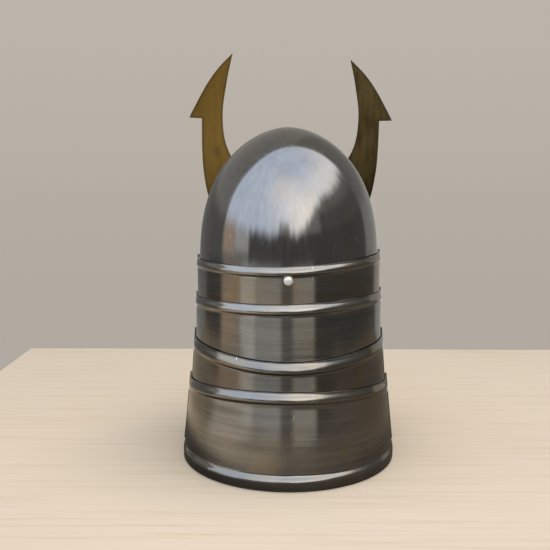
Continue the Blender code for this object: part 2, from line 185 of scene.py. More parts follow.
# Each thing in the room, in degrees: where it starts at the left and ends at the right, counted from
# straight behind the camera, its lowest and highest angle and how soft its edges are. Then its colour.
BACK_WALL = (0.36, 0.345, 0.32, 1)
ROOM_THINGS = {
    "dark wall at the left": (-180, -101, -10, 12, 8, (0.18, 0.175, 0.17, 1)),
    "pale wall at the right": (52, 165, 10, 95, 9, (0.26, 0.25, 0.23, 1)),
    "dark doorway": (48, 122, -12, 25, 6, (0.16, 0.155, 0.15, 1)),
    "sill and furniture": (-58, 124, -10, 12, 4, (0.125, 0.12, 0.112, 1)),
    "curtain": (-100, -80, -2, 95, 3, (0.76, 0.58, 0.44, 1)),
    "white frame": (-80, -58, 0, 95, 4, (0.78, 0.76, 0.74, 1)),
    "floor": (-130, 140, -95, -5, 3, (0.10, 0.096, 0.086, 1)),
    "curtain's foot": (-98, -70, -24, -5, 5, (0.60, 0.46, 0.34, 1)),
    "pale chair": (-69, -45, -26, -5, 6, (0.90, 0.88, 0.85, 1)),
    "sunlit floor at the left": (-45, -9, -16, -5, 5, (0.60, 0.595, 0.58, 1)),
    "middle of the floor": (-9, 6, -26, -5, 5, (0.22, 0.21, 0.20, 1)),
    "sunlit floor at the right": (6, 36, -11, -5, 4, (0.68, 0.645, 0.57, 1)),
    "near floor": (-185, 185, -95, -27, 4, (0.18, 0.15, 0.12, 1)),
}
SKY_BLUE = (1.22, 1.36, 1.60, 1)
SKY_WHITE = (1.85, 1.85, 1.90, 1)
SUNLIT = (2.35, 2.20, 2.00, 1)

# The window's lower edge is ragged with the trees outside and climbs to the right. Its upper edge is
# past straight up, and slants.
SILL_LOW, SILL_RISE, SILL_RAGGED, SILL_BUMP = 12.0, 24.0, 18.0, 7.0
SILL_SOFTNESS = (-5.0, 6.0)
WINDOW_EDGE, WINDOW_SLANT, WINDOW_LEAST = 0.31, 0.22, 0.17
WINDOW_SOFTNESS = (0.012, -0.012)


def between(value, low, high, soft):
    """1 between two bounds and 0 outside them, with soft edges."""
    return value.step(low - soft / 2, low + soft / 2) * (1.0 - value.step(high - soft / 2, high + soft / 2))


seen = BACK_WALL
for left, right, low, high, soft, colour in ROOM_THINGS.values():
    patch = between(azimuth, left, right, soft) * between(height, low, high, soft)
    seen = blend(room, patch, seen, colour)
row = add(room, "ShaderNodeCombineXYZ", azimuth * 0.2, 0.0, 0.0).outputs[0]
treetops = noise(room, row, 1.0)
sill = (azimuth.step(8, 64) * SILL_RISE + SILL_LOW + (treetops - 0.5) * SILL_RAGGED
        + between(azimuth, -14, 2, 6) * SILL_BUMP)
window_back = (across * WINDOW_SLANT + WINDOW_EDGE).most(WINDOW_LEAST)
window = (away - window_back).step(*WINDOW_SOFTNESS) * (height - sill).step(*SILL_SOFTNESS)

# The sky is blue at the left and overhead, white at the right, and sunlit low down at the right.
sky = blend(room, (azimuth + height * 0.6).step(-35, 30), SKY_BLUE, SKY_WHITE)
sky = blend(room, between(azimuth, 6, 52, 30) * between(height, 8, 40, 20), sky, SUNLIT)
sky = blend(room, height.step(45, 75), sky, SKY_BLUE)
seen = blend(room, window, seen, sky)
add(room, "ShaderNodeOutputWorld", add(room, "ShaderNodeBackground", seen, 1.0).outputs[0])

# A soft light from the ceiling, too even to be seen in the steel.
ceiling = bpy.data.lights.new("ceiling", "AREA")
ceiling.shape = "DISK"
ceiling.size = 2.4
ceiling.energy = 60
ceiling.color = (1.0, 0.95, 0.88)
ceiling_lamp = bpy.data.objects.new("ceiling", ceiling)
ceiling_lamp.location = (0.3, AXIS_Y - 0.3, 2.2)
ceiling_lamp.visible_glossy = False
ceiling_lamp.visible_camera = False
bpy.context.collection.objects.link(ceiling_lamp)


# Table
# A pale wooden table top, and the grey wall beyond it as a dome that only the camera sees. The wall's light
# is painted: it glows by itself, darker low down.
TABLE_LEFT, TABLE_RIGHT = -0.46, 1.2
TABLE_NEAR, TABLE_FAR = -1.6, 0.549
TABLE_THICKNESS = 0.025
TABLE_COLOUR = (0.46, 0.392, 0.312, 1)
GRAIN_COLOUR = (0.42, 0.345, 0.255, 1)
GRAIN_STRETCH = (1.5, 40, 1)


def table_slab(name, left, right, near, far, top=0.0):
    """A part of the table top, with its place in its mesh."""
    bm = bmesh.new()
    bmesh.ops.create_cube(bm, size=1)
    for vertex in bm.verts:
        vertex.co = ((left, right)[vertex.co.x > 0], (near, far)[vertex.co.y > 0],
                     (-TABLE_THICKNESS, top)[vertex.co.z > 0])
    mesh = bpy.data.meshes.new(name)
    bm.to_mesh(mesh)
    bm.free()
    made = bpy.data.objects.new(name, mesh)
    bpy.context.collection.objects.link(made)
    return made


table = table_slab("table", TABLE_LEFT, TABLE_RIGHT, TABLE_NEAR, TABLE_FAR)
table.visible_glossy = False

# The steel mirrors a browner copy of the table, seen only in its reflections, with painted shade close to
# the helmet's foot, dark at the right, and a painted sunlit strip at the left.
MIRRORED_TOP = 0.0005
MIRRORED_LEFT, MIRRORED_RIGHT = -0.8, 0.8
MIRRORED_NEAR = -0.42
NEAR_FOOT, PAST_FOOT, WELL_OUT = 0.17, 0.27, 0.42
DARK_RIGHT_EDGE = (-0.12, 0.03)
STRIP_LEFT_EDGE = (-0.58, -0.48)
STRIP_RIGHT_EDGE = (-0.24, -0.32)
STRIP_FAR_EDGE = (0.02, -0.08)
PAINTED_FOOT_SHADE = (0.04, 0.032, 0.02, 1)
MIRRORED_MIDDLE_COLOUR = (0.31, 0.245, 0.165, 1)
MIRRORED_FAR_COLOUR = (0.17, 0.137, 0.095, 1)
MIRRORED_RIGHT_COLOUR = (0.055, 0.043, 0.028, 1)
SUNLIT_STRIP_COLOUR = (0.42, 0.36, 0.285, 1)
mirrored = table_slab("mirrored_table", MIRRORED_LEFT, MIRRORED_RIGHT, MIRRORED_NEAR, TABLE_FAR,
                      MIRRORED_TOP)
for ray in ("camera", "diffuse", "transmission", "shadow"):
    setattr(mirrored, "visible_" + ray, False)


def new_material(name, roughness, metallic=0.0):
    made = bpy.data.materials.new(name)
    made.use_nodes = True
    shader = made.node_tree.nodes["Principled BSDF"]
    shader.inputs["Roughness"].default_value = roughness
    shader.inputs["Metallic"].default_value = metallic
    return made, made.node_tree, shader


wood, tree, shader = new_material("pale wood", roughness=0.55)
held = add(tree, "ShaderNodeTexCoord").outputs["Object"]
stretched = add(tree, "ShaderNodeVectorMath", held, GRAIN_STRETCH, operation="MULTIPLY").outputs[0]
grain = noise(tree, stretched, 3.0, detail=6.0)
give(tree, shader.inputs["Base Color"], blend(tree, grain.step(0.45, 0.75), TABLE_COLOUR, GRAIN_COLOUR))
table.data.materials.append(wood)

mirrored_wood, tree, shader = new_material("mirrored wood", roughness=0.6)
x, y = axes(tree, add(tree, "ShaderNodeTexCoord").outputs["Object"])[:2]
from_axis = (x * x + (y - AXIS_Y) * (y - AXIS_Y)) ** 0.5
# Painted shade: the copy is dark close to the helmet's foot.
colour = blend(tree, from_axis.step(NEAR_FOOT, PAST_FOOT), PAINTED_FOOT_SHADE, MIRRORED_MIDDLE_COLOUR)
colour = blend(tree, from_axis.step(PAST_FOOT, WELL_OUT), colour, MIRRORED_FAR_COLOUR)
colour = blend(tree, x.step(*DARK_RIGHT_EDGE) * 0.85, colour, MIRRORED_RIGHT_COLOUR)
sunlit = x.step(*STRIP_RIGHT_EDGE) * x.step(*STRIP_LEFT_EDGE) * y.step(*STRIP_FAR_EDGE)
colour = blend(tree, sunlit, colour, SUNLIT_STRIP_COLOUR)
give(tree, shader.inputs["Base Color"], colour)
mirrored.data.materials.append(mirrored_wood)

WALL_RADIUS = 6.0
WALL_COLOUR = (0.50, 0.455, 0.405, 1)
WALL_LOW_COLOUR = (0.44, 0.40, 0.355, 1)
bm = bmesh.new()
bmesh.ops.create_uvsphere(bm, u_segments=48, v_segments=24, radius=WALL_RADIUS)
wall_mesh = bpy.data.meshes.new("wall")
bm.to_mesh(wall_mesh)
bm.free()
wall = bpy.data.objects.new("wall", wall_mesh)
bpy.context.collection.objects.link(wall)
for ray in ("diffuse", "glossy", "transmission", "volume_scatter", "shadow"):
    setattr(wall, "visible_" + ray, False)
paint = bpy.data.materials.new("grey wall")
paint.use_nodes = True
paint.node_tree.nodes.clear()
rise = axes(paint.node_tree, add(paint.node_tree, "ShaderNodeTexCoord").outputs["Object"])[2]
# Painted light: the wall glows by itself, a little darker towards its foot.
risen = rise.step(-0.15 * WALL_RADIUS, 0.25 * WALL_RADIUS)
shade = blend(paint.node_tree, risen, WALL_LOW_COLOUR, WALL_COLOUR)
glow = add(paint.node_tree, "ShaderNodeEmission", shade, 1.0)
add(paint.node_tree, "ShaderNodeOutputMaterial", glow.outputs[0])
wall_mesh.materials.append(paint)


# Metal finishes
# Brushing is fine streaks along one way of the sheet, and wear is the tarnish and small nicks that a
# dark polished sheet picks up. Both are groups, placed in each metal with its own values.
STEEL_DARK, STEEL_PALE = 0.23, 0.37
OLD_OIL = (0.30, 0.235, 0.15, 1)
BARE_STEEL = (0.75, 0.74, 0.72, 1)
MOTTLE = (0.36, 0.64)
MARK_DEPTH = 0.0004


def shader_group(name, inputs, outputs):
    tree = bpy.data.node_groups.new(name, "ShaderNodeTree")
    for label, kind in inputs.items():
        tree.interface.new_socket(label, in_out="INPUT", socket_type="NodeSocket" + kind)
    for label, kind in outputs.items():
        tree.interface.new_socket(label, in_out="OUTPUT", socket_type="NodeSocket" + kind)
    source = tree.nodes.new("NodeGroupInput")
    return tree, {output.name: output for output in source.outputs if output.name}


brushing, given = shader_group("brushing", {"Stretch": "Vector"}, {"Streak": "Float", "Broad": "Float"})
held = add(brushing, "ShaderNodeTexCoord").outputs["Object"]
stretched = add(brushing, "ShaderNodeVectorMath", held, given["Stretch"], operation="MULTIPLY").outputs[0]
fine = noise(brushing, stretched, 9.0, detail=4.0, rough=0.65)
coarse = noise(brushing, stretched, 2.2, detail=2.0)
add(brushing, "NodeGroupOutput", fine, coarse)

wear, given = shader_group("wear", {"Seed": "Vector"}, {"Cloud": "Float", "Nicks": "Float"})
held = add(wear, "ShaderNodeTexCoord").outputs["Object"]
shifted = add(wear, "ShaderNodeVectorMath", held, given["Seed"], operation="ADD").outputs[0]
cloud = noise(wear, shifted, 14.0, detail=4.0, rough=0.6)
place = add(wear, "ShaderNodeVectorMath", shifted, (1.0, 1.0, 0.16), operation="MULTIPLY").outputs[0]
specks = noise(wear, place, 260.0, detail=2.0)
nicks = specks.step(0.71, 0.77) * noise(wear, shifted, 9.0).step(0.48, 0.60)
add(wear, "NodeGroupOutput", cloud, nicks)


def marked(tree, shader, height, strength, depth=MARK_DEPTH):
    """Press small marks into a surface."""
    bump = add(tree, "ShaderNodeBump")
    bump.inputs["Strength"].default_value = strength
    bump.inputs["Distance"].default_value = depth
    give(tree, bump.inputs["Height"], height)
    give(tree, shader.inputs["Normal"], bump.outputs[0])


def steel(name, stretch, seed, tint_and_painted_shade=(1.0, 1.0, 1.0), brushed_depth=0.16, patchy=1.0, dull=0.05):
    """Dark burnished steel, brushed along the axis with the smallest stretch, with patches of old oil."""
    made, tree, shader = new_material(name, roughness=0.12, metallic=1.0)
    brushed = add(tree, "ShaderNodeGroup", node_tree=brushing)
    brushed.inputs["Stretch"].default_value = stretch
    worn = add(tree, "ShaderNodeGroup", node_tree=wear)
    worn.inputs["Seed"].default_value = seed
    streak, broad = (Term(tree, output) for output in brushed.outputs)
    cloud, nicks = (Term(tree, output) for output in worn.outputs)
    # The tint carries the steel's own warm colour and, for the lames, their painted shade.
    dark, pale = ([*(level * part for part in tint_and_painted_shade), 1.0] for level in (STEEL_DARK, STEEL_PALE))
    patches = (streak * 0.35 + broad * 0.25 + cloud * 0.4).step(*MOTTLE)
    base = blend(tree, patches * patchy + (0.5 - 0.5 * patchy), dark, pale)
    base = blend(tree, cloud.step(0.46, 0.64) * (0.35 + 0.5 * streak) * patchy, base, OLD_OIL)
    give(tree, shader.inputs["Base Color"], blend(tree, nicks, base, BARE_STEEL))
    give(tree, shader.inputs["Roughness"], 0.14 * streak + 0.06 * cloud + dull)
    marked(tree, shader, streak + 1.5 * cloud, brushed_depth)
    return made


# Bowl
# One sheet of dark steel pressed to an egg, burnished up and down by hand until it mirrors.
SHEET = 0.0012
SHEET_EDGE = 0.0003
BOWL_HALF_WIDTH = (bowl_high.x - bowl_low.x) / 2
BOWL_HALF_DEPTH = (bowl_high.y - bowl_low.y) / 2
BOWL_EDGE_Z = bowl_low.z
BOWL_CROWN_Z = bowl_high.z
BOWL_SPRING_Z = 0.215
EGG_RISE_POWER = 2.6
EGG_WIDTH_POWER = 1.8
BOWL_COLUMNS = 192
BOWL_ROWS = 84
BOWL_WALL_SHARE = 0.05
BOWL_BRUSHING = (26.0, 26.0, 1.1)


def form_tree(name, sizes):
    """A tree that makes a grid and lays it over a surface: its input Terms, and its u and v from 0 to 1."""
    tree = bpy.data.node_groups.new(name, "GeometryNodeTree")
    sockets = tree.interface
    sockets.new_socket("Geometry", in_out="OUTPUT", socket_type="NodeSocketGeometry")
    sockets.new_socket("Material", in_out="INPUT", socket_type="NodeSocketMaterial")
    for kind in ("Columns", "Rows"):
        sockets.new_socket(kind, in_out="INPUT", socket_type="NodeSocketInt")
    for size in sizes:
        sockets.new_socket(size, in_out="INPUT", socket_type="NodeSocketFloat")
    source = tree.nodes.new("NodeGroupInput")
    given = {output.name: output for output in source.outputs if output.name}
    grid = add(tree, "GeometryNodeMeshGrid", 1.0, 1.0, given["Columns"], given["Rows"])
    x, y = axes(tree, add(tree, "GeometryNodeInputPosition").outputs[0])[:2]
    return tree, grid, given, x + 0.5, y + 0.5


def close_tree(tree, grid, given, position):
    """Set the grid's points, weld its seams and hand on the mesh."""
    laid = add(tree, "GeometryNodeSetPosition", grid.outputs[0])
    place = add(tree, "ShaderNodeCombineXYZ", *position)
    tree.links.new(place.outputs[0], laid.inputs["Position"])
    welded = add(tree, "GeometryNodeMergeByDistance", laid.outputs[0])
    welded.inputs["Distance"].default_value = 1e-6
    smooth = add(tree, "GeometryNodeSetShadeSmooth", welded.outputs[0])
    realized = add(tree, "GeometryNodeRealizeInstances", smooth.outputs[0])
    painted = add(tree, "GeometryNodeSetMaterial", realized.outputs[0])
    give(tree, painted.inputs["Material"], given["Material"])
    add(tree, "NodeGroupOutput", painted.outputs[0])


def formed(name, tree, values, start=None):
    """The plain mesh object that a tree makes from the values."""
    base = bpy.data.objects.new(name + "_base", start or bpy.data.meshes.new(name + "_base"))
    bpy.context.collection.objects.link(base)
    modifier = base.modifiers.new("form", "NODES")
    modifier.node_group = tree
    for socket in tree.interface.items_tree:
        if socket.in_out == "INPUT" and socket.name in values:
            modifier[socket.identifier] = values[socket.name]
    bpy.context.view_layer.update()
    mesh = bpy.data.meshes.new_from_object(base.evaluated_get(bpy.context.evaluated_depsgraph_get()))
    bpy.data.objects.remove(base)
    mesh.name = name
    mesh.transform(AXIS)
    made = bpy.data.objects.new(name, mesh)
    bpy.context.collection.objects.link(made)
    return made


def thicken(piece, thickness, edge):
    """Give a formed surface its sheet, inwards, with slightly rounded edges."""
    sheet = piece.modifiers.new("sheet", "SOLIDIFY")
    sheet.thickness = thickness
    sheet.offset = -1
    sheet.use_even_offset = True
    rounded = piece.modifiers.new("edges", "BEVEL")
    rounded.width = edge
    rounded.segments = 2
    rounded.limit_method = "ANGLE"
    rounded.angle_limit = math.radians(50)
    rounded.harden_normals = True


bowl_tree, grid, given, u, v = form_tree("egg bowl", [
    "Half width", "Half depth", "Edge", "Spring", "Crown", "Rise power", "Width power", "Wall share"])
size = {label: Term(bowl_tree, output) for label, output in given.items()}
lift = ((v - size["Wall share"]) / (1.0 - size["Wall share"])).clamped()
share = (lift * (math.pi / 2)).cos()
rise = (1.0 - share ** size["Width power"]).most(0.0) ** (1.0 / size["Rise power"])
upright = (v / size["Wall share"]).clamped()
turn = u * (2 * math.pi)
close_tree(bowl_tree, grid, given, (
    size["Half width"] * share * turn.sin(), size["Half depth"] * share * turn.cos() * -1.0,
    size["Edge"] + (size["Spring"] - size["Edge"]) * upright + (size["Crown"] - size["Spring"]) * rise))
bowl = formed("bowl_shell", bowl_tree, {
    "Material": steel("bowl steel", BOWL_BRUSHING, (0.0, 0.0, 0.0), brushed_depth=0.02,
                      patchy=0.45, dull=0.02),
    "Columns": BOWL_COLUMNS + 1, "Rows": BOWL_ROWS,
    "Half width": BOWL_HALF_WIDTH, "Half depth": BOWL_HALF_DEPTH, "Edge": BOWL_EDGE_Z,
    "Spring": BOWL_SPRING_Z, "Crown": BOWL_CROWN_Z, "Rise power": EGG_RISE_POWER,
    "Width power": EGG_WIDTH_POWER, "Wall share": BOWL_WALL_SHARE})
thicken(bowl, SHEET, SHEET_EDGE)
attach(bowl, "bowl_body")
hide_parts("bowl")


# Lames
# Four strips of dark steel that wrap the back and sides, brushed along their length. Each has a bead
# swaged along its top edge, and the lowest a heavier one round its foot. They hang on side rivets.
SIDE_GAP = 0.0004
GUARD_HEIGHT = 0.2275
LAME_FRONT_Y = 0.042
FLARE_START_Y = 0.022
FLARE = 0.0051
FLARE_STEP = 0.0002
BEAD_HEIGHT = 0.011
BEAD_RISE = 0.0028
BEAD_CREST_SHARE = 0.62
RIM_HEIGHT = 0.017
RIM_RISE = 0.0036
RIM_CREST_SHARE = 0.40
BEAD_FADE_POWER = 0.6

# Top edge at the back and the sides and foot, as shares of the guard's height; the bead's height as a
# share of the usual one; gaps to the sheet inside; splay per height; and the top edge's roll in degrees.
LAMES = {
    "lame_1": dict(back=1.000, side=1.000, foot=0.695, bead=0.93, side_extra=0.0000, back_gap=0.0005,
                   side_splay=0.000, back_splay=0.000, roll=1.80, sweep=0.0024, body="bowl_body"),
    "lame_2": dict(back=0.833, side=0.811, foot=0.462, bead=1.05, side_extra=0.0000, back_gap=0.0022,
                   side_splay=0.008, back_splay=0.012, roll=1.60, sweep=0.0022, body="lame_2_body"),
    "lame_3": dict(back=0.575, side=0.594, foot=0.255, bead=1.25, side_extra=0.0002, back_gap=0.0026,
                   side_splay=0.070, back_splay=0.060, roll=0.15, sweep=0.0042, body="lame_3_body"),
    "lame_4": dict(back=0.445, side=0.381, foot=0.000, bead=1.20, side_extra=0.0004, back_gap=0.0026,
                   side_splay=0.100, back_splay=0.070, roll=-0.30, sweep=0.0006, body="lame_4_body"),
}

# Painted shade: each lame's steel is made a little paler (the top two) or darker (the third), standing in
# for how bright a part of the room it mirrors. Then the warm tint of all four.
LAME_PAINTED_SHADES = (1.05, 1.05, 0.85, 1.0)
LAME_TINT = (1.0, 0.975, 0.91)
LAME_BRUSHING = (1.2, 1.2, 30.0)
LAME_COLUMNS = 240
LAME_ROWS = 48
BEAD_ROWS_SHARE = 0.34
WALL_ROWS_END = 0.6
BACK_LENGTH = math.pi * (BOWL_HALF_WIDTH + BOWL_HALF_DEPTH) / 2

lame_tree, grid, given, u, v = form_tree("lame", [
    "Half width", "Half depth", "Side splay", "Back splay", "Side top", "Back rise", "Sweep", "Roll slope",
    "Foot", "Bead height", "Rim height", "Rim rise", "Flare", "Wall end"])
size = {label: Term(lame_tree, output) for label, output in given.items()}
way = u * (2 * LAME_FRONT_Y + BACK_LENGTH)
angle = ((way - LAME_FRONT_Y) / BACK_LENGTH).clamped() * math.pi - math.pi / 2
forward = (LAME_FRONT_Y - way).most(0.0) + (way - (LAME_FRONT_Y + BACK_LENGTH)).most(0.0)
flare_reach = LAME_FRONT_Y - FLARE_START_Y
flare_share = ((forward - FLARE_START_Y) / flare_reach).most(0.0)
bead_share = (v / BEAD_ROWS_SHARE).clamped()
wall_share = ((v - BEAD_ROWS_SHARE) / (size["Wall end"] - BEAD_ROWS_SHARE)).clamped()
rim_share = ((v - size["Wall end"]) / (1.0 - size["Wall end"])).clamped()


def swell(share, crest):
    """Height of a bead across its width, from 0 at both feet to 1 at its crest."""
    return (((share / crest).least((1.0 - share) / (1.0 - crest))).most(0.0) * (math.pi / 2)).sin() ** 2.0


side_x = angle.sin()
back_y = angle.cos() * -1.0
plan_x = side_x * size["Half width"]
plan_share = (back_y * size["Half depth"] + forward) / size["Half depth"]
back_share = (plan_share * -1.0).most(0.0)
top_z = (size["Side top"] - size["Back rise"] * plan_share + plan_x * size["Roll slope"]
         + size["Sweep"] * 4.0 * back_share * (1.0 - back_share))
z = (top_z - bead_share * size["Bead height"]
     + wall_share * (size["Foot"] + size["Rim height"] - top_z + size["Bead height"])
     - rim_share * size["Rim height"])
half_width = size["Half width"] + size["Side splay"] * (size["Side top"] - z)
half_depth = size["Half depth"] + size["Back splay"] * (size["Side top"] - z)
fade = angle.cos().most(0.0) ** BEAD_FADE_POWER
swollen = (BEAD_RISE * swell(bead_share, BEAD_CREST_SHARE)
           + size["Rim rise"] * swell(rim_share, RIM_CREST_SHARE))
proud = swollen * fade
normal_x = side_x / half_width
normal_y = back_y / half_depth - flare_share * size["Flare"] * (2 / flare_reach) / half_width
normal_length = (normal_x * normal_x + normal_y * normal_y) ** 0.5
flared = half_width + size["Flare"] * flare_share * flare_share
close_tree(lame_tree, grid, given, (
    side_x * flared + proud * normal_x / normal_length,
    back_y * half_depth + forward + proud * normal_y / normal_length, z))

half_width, half_depth, above = BOWL_HALF_WIDTH, BOWL_HALF_DEPTH, None
lame_sizes = {}
for number, (name, row) in enumerate(LAMES.items()):
    top = row["side"] * GUARD_HEIGHT
    if above:
        half_width += above["side_splay"] * (above["side"] * GUARD_HEIGHT - top)
        half_depth += above["back_splay"] * (above["side"] * GUARD_HEIGHT - top)
    half_width += SHEET + SIDE_GAP + row["side_extra"]
    half_depth += SHEET + row["back_gap"]
    above = row
    lame_sizes[name] = (half_width, half_depth)
    lowest = row["foot"] == 0
    # Each lame's steel is paled or darkened by its painted shade.
    lame = formed(name + "_strip", lame_tree, {
        "Material": steel(f"{name} steel", LAME_BRUSHING, (0.3 * number + 0.2, 0.1, 0.0),
                          [LAME_PAINTED_SHADES[number] * part for part in LAME_TINT]),
        "Columns": LAME_COLUMNS, "Rows": LAME_ROWS, "Half width": half_width, "Half depth": half_depth,
        "Side splay": row["side_splay"], "Back splay": row["back_splay"], "Side top": top,
        "Back rise": (row["back"] - row["side"]) * GUARD_HEIGHT, "Sweep": row["sweep"],
        "Roll slope": math.tan(math.radians(row["roll"])),
        "Foot": row["foot"] * GUARD_HEIGHT, "Bead height": row["bead"] * BEAD_HEIGHT,
        "Rim height": RIM_HEIGHT if lowest else 0.0, "Rim rise": RIM_RISE if lowest else 0.0,
        "Flare": FLARE + FLARE_STEP * number, "Wall end": WALL_ROWS_END if lowest else 1.0})
    thicken(lame, SHEET, SHEET_EDGE)
    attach(lame, row["body"])
    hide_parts(name)


# Peak
# A plain plate of the same dark steel at the brow, bent from one sheet with its flange, which is riveted
# round the bowl. Its edge is rounded with a file.
SEAT_GAP = 0.0003
PEAK_REACH = 0.040
PEAK_DROP = 0.013
PEAK_SWEEP = math.radians(62)
PEAK_END_SHARE = 0.10
PEAK_FLANGE_HEIGHT = 0.012
PEAK_BEND = 0.0025
PEAK_BEND_Z = BOWL_EDGE_Z + PEAK_BEND + SHEET
PEAK_COLUMNS = 96
PEAK_OUTLINE_POWER = 0.7
PEAK_DROP_POWER = 1.3
PEAK_FLANGE_STEPS = 3
PEAK_BEND_STEPS = 6
PEAK_REACH_STEPS = 14
PEAK_TINT = (1.0, 0.98, 0.93)
PEAK_BRUSHING = (14.0, 2.0, 14.0)


def brow_point(turn, z, away_from_wall):
    """A point round the bowl's brow, its angle counted from the front towards +X."""
    x = math.sin(turn)
    y = math.cos(turn)
    outward = Vector((x / BOWL_HALF_WIDTH, y / BOWL_HALF_DEPTH, 0)).normalized()
    return Vector((BOWL_HALF_WIDTH * x, BOWL_HALF_DEPTH * y, z)) + away_from_wall * outward


def sheet_from_rows(name, rows):
    """A sheet of faces over rows of points, moved to the helmet's axis."""
    bm = bmesh.new()
    grid = [[bm.verts.new(AXIS @ point) for point in row] for row in rows]
    for upper, lower in zip(grid, grid[1:]):
        for a, b, c, d in zip(upper, upper[1:], lower[1:], lower):
            bm.faces.new((d, c, b, a))
    mesh = bpy.data.meshes.new(name)
    bm.to_mesh(mesh)
    bm.free()
    mesh.shade_smooth()
    made = bpy.data.objects.new(name, mesh)
    bpy.context.collection.objects.link(made)
    return made


peak_columns = []
for i in range(PEAK_COLUMNS + 1):
    share = 2 * i / PEAK_COLUMNS - 1
    rounded_share = math.cos(math.pi / 2 * share) ** PEAK_OUTLINE_POWER
    reach_share = PEAK_END_SHARE + (1 - PEAK_END_SHARE) * rounded_share
    section = [(SEAT_GAP, PEAK_BEND_Z + PEAK_FLANGE_HEIGHT * (1 - step / PEAK_FLANGE_STEPS))
               for step in range(PEAK_FLANGE_STEPS)]
    for step in range(PEAK_BEND_STEPS + 1):
        turn = math.pi / 2 * step / PEAK_BEND_STEPS
        section.append((SEAT_GAP + PEAK_BEND * (1 - math.cos(turn)),
                        PEAK_BEND_Z - PEAK_BEND * math.sin(turn)))
    for step in range(1, PEAK_REACH_STEPS + 1):
        out = step / PEAK_REACH_STEPS
        section.append((SEAT_GAP + PEAK_BEND + out * PEAK_REACH * reach_share,
                        PEAK_BEND_Z - PEAK_BEND - PEAK_DROP * reach_share * out ** PEAK_DROP_POWER))
    peak_columns.append([brow_point(share * PEAK_SWEEP, z, out) for out, z in section])
peak = sheet_from_rows("peak_plate", peak_columns)
peak.data.materials.append(steel("peak steel", PEAK_BRUSHING, (0.9, 0.4, 0.2), PEAK_TINT))
thicken(peak, SHEET, SHEET_EDGE)
peak.modifiers["sheet"].offset = 1
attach(peak, "bowl_body")
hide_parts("peak")


# Crest
# A pair of barbed horns cut from one sheet of brass, bent round the brow and riveted to the bowl's front.
# It was never lacquered: it has gone olive and brown, and is darker along its edges. Its left horn is
# painted golden, a painted reflection of the warm light that it faces. The bowl's polish shows no image of
# it.
CREST_SHEET = 0.0014
CREST_EDGE = 0.00025
CREST_HALF_SPAN = 0.121
CREST_HEIGHT = 0.226
CREST_ROOT_Z = BOWL_EDGE_Z + 0.0258
CREST_SEAT_Z = BOWL_EDGE_Z + 0.045
CREST_LEAN = 0.0996
CREST_BEND_RADIUS = 0.26
CREST_ROLL = math.radians(0.9)
BARB_SHARE = 0.673
LEFT_TIP_STRETCH, RIGHT_TIP_STRETCH = 1.05, 0.975
CREST_CELL = 0.003
CREST_CURVE_STEPS = 12
CREST_BRUSHING = (22.0, 6.0, 3.0)
OLIVE_DARK = (0.075, 0.05, 0.015, 1)
OLIVE_PALE = (0.16, 0.112, 0.042, 1)
GOLDEN_PAINTED_REFLECTION = (0.44, 0.265, 0.062, 1)
BROWN = (0.13, 0.07, 0.03, 1)
EDGE_BROWN = (0.05, 0.038, 0.018, 1)
HORN_OUTER_EDGE = [(0.584, 1.0), (0.722, 0.923), (0.838, 0.835), (0.968, 0.706), (0.996, 0.673)]
HORN_STEM = [(0.878, 0.672), (0.876, 0.508), (0.860, 0.381), (0.807, 0.240), (0.678, 0.107),
             (0.394, 0.021), (0.0, 0.0)]
HORN_INNER_EDGE = [(0.0, 0.245), (0.213, 0.263), (0.450, 0.367), (0.634, 0.520), (0.680, 0.690),
                   (0.640, 0.860), (0.584, 1.0)]


def smooth_run(points):
    """Points of a smooth curve through the given ones."""
    points = [Vector(point) for point in points]
    padded = [2 * points[0] - points[1], *points, 2 * points[-1] - points[-2]]
    run = []
    for before, start, end, after in zip(padded, padded[1:], padded[2:], padded[3:]):
        for step in range(CREST_CURVE_STEPS):
            t = step / CREST_CURVE_STEPS
            run.append(0.5 * (2 * start + (end - before) * t
                              + (2 * before - 5 * start + 4 * end - after) * t ** 2
                              + (3 * start - before - 3 * end + after) * t ** 3))
    return run + [points[-1]]


def egg_share(z):
    """How much of the bowl's oval is left at a height."""
    risen = (z - BOWL_SPRING_Z) / (BOWL_CROWN_Z - BOWL_SPRING_Z)
    return (1 - risen ** EGG_RISE_POWER) ** (1 / EGG_WIDTH_POWER)


def crest_back_y(x, z):
    """The crest's hinder face: it leans with the bowl's front and bends back towards the horns."""
    seat = BOWL_HALF_DEPTH * egg_share(CREST_SEAT_Z) + SEAT_GAP
    bend = CREST_BEND_RADIUS - math.sqrt(CREST_BEND_RADIUS ** 2 - x ** 2)
    return seat + CREST_LEAN * (CREST_SEAT_Z - z) - bend


